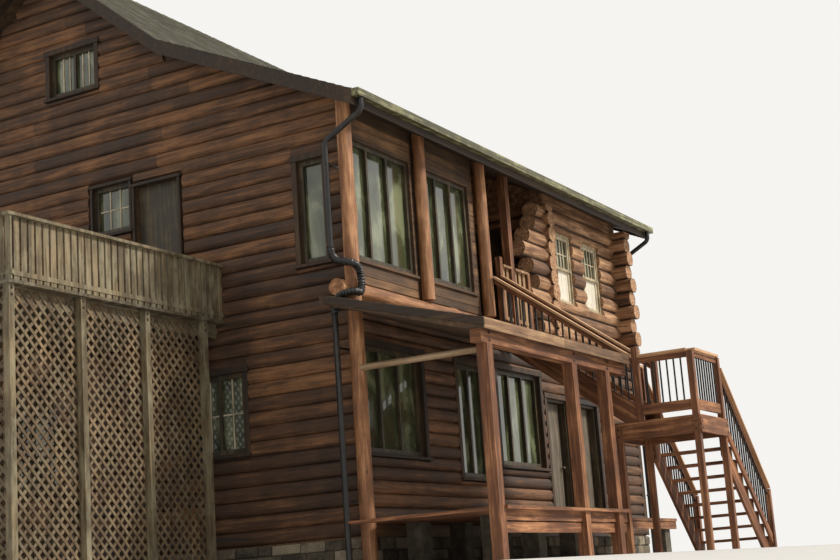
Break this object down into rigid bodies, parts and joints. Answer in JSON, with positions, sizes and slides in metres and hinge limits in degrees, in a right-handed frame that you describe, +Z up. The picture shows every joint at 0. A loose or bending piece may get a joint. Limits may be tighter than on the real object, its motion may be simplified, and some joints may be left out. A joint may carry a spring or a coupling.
{
  "type": "log cabin",
  "caption": "Two-storey log cabin on its foundation, with a sunroom, round log corner, covered porch, outside stair and side deck with lattice.",
  "frame": {"origin": "outer front left corner of the house's walls, at the foot of the foundation on level ground", "axes": "+X to the right along the front, +Y from the front to the back, +Z up; the front faces -Y"},
  "size_m": [14.525, 12.966, 9.894],
  "materials": {
    "masonry": "plain",
    "log_siding": "plain",
    "sunroom_boards": "plain",
    "floor_wood": "plain",
    "round_logs": "plain",
    "shingles": "plain",
    "porch_shingles": "plain",
    "brown_trim": "plain",
    "gutter_metal": "plain",
    "black_pipe": "plain",
    "hinge_steel": "plain",
    "peeled_cedar": "plain",
    "cedar": "plain",
    "weathered_wood": "plain",
    "window_paint": "plain",
    "glass": "plain",
    "door_paint": "plain"
  },
  "bodies": {
    "house": {"back_lattice": "weathered_wood", "back_roof": "shingles", "deck_floor": "floor_wood", "deck_posts": "weathered_wood", "deck_rails": "weathered_wood", "deck_rims": "weathered_wood", "door_frames": "brown_trim", "door_hinges": "hinge_steel", "downspouts": "black_pipe", "entry_guard": "weathered_wood", "entry_posts": "cedar", "fascia_boards": "brown_trim", "foundation": "masonry", "front_gutter": "gutter_metal", "front_high_roof": "shingles", "front_lattice": "weathered_wood", "front_low_roof": "shingles", "landing": "floor_wood", "landing_rails": "cedar", "landing_rims": "cedar", "log_entry_wall": "round_logs", "log_front_wall": "round_logs", "log_right_wall": "round_logs", "log_wall_plate": "log_siding", "lower_back_wall": "log_siding", "lower_floor": "floor_wood", "lower_front_wall": "log_siding", "lower_glass": "glass", "lower_left_wall": "log_siding", "lower_right_wall": "log_siding", "lower_stair_rails": "cedar", "lower_stringers": "cedar", "lower_treads": "cedar", "lower_window_frames": "window_paint", "porch_beam": "cedar", "porch_floor": "floor_wood", "porch_piers": "masonry", "porch_pole": "peeled_cedar", "porch_posts": "cedar", "porch_rims": "brown_trim", "porch_roof": "porch_shingles", "recess_back_wall": "log_siding", "right_gable": "log_siding", "rim_logs": "round_logs", "round_posts": "peeled_cedar", "side_lattice": "weathered_wood", "stair_posts": "cedar", "sunroom_front_wall": "sunroom_boards", "sunroom_side_wall": "log_siding", "upper_back_wall": "log_siding", "upper_doors": "door_paint", "upper_floor": "floor_wood", "upper_glass": "glass", "upper_left_wall": "log_siding", "upper_stair_rails": "cedar", "upper_stringers": "cedar", "upper_treads": "cedar", "upper_window_frames": "window_paint"},
    "left_leaf": {"left_door": "door_paint"},
    "right_leaf": {"right_door": "door_paint"}
  },
  "joints": [
    {"name": "left_door_hinge", "type": "hinge", "parent": "house", "child": "left_leaf", "pos_m": [5.925, 0.176, 0.66], "axis": [0, 0, 1], "range_deg": [0, 90]},
    {"name": "right_door_hinge", "type": "hinge", "parent": "house", "child": "right_leaf", "pos_m": [7.925, 0.176, 0.66], "axis": [0, 0, -1], "range_deg": [0, 90]}
  ]
}
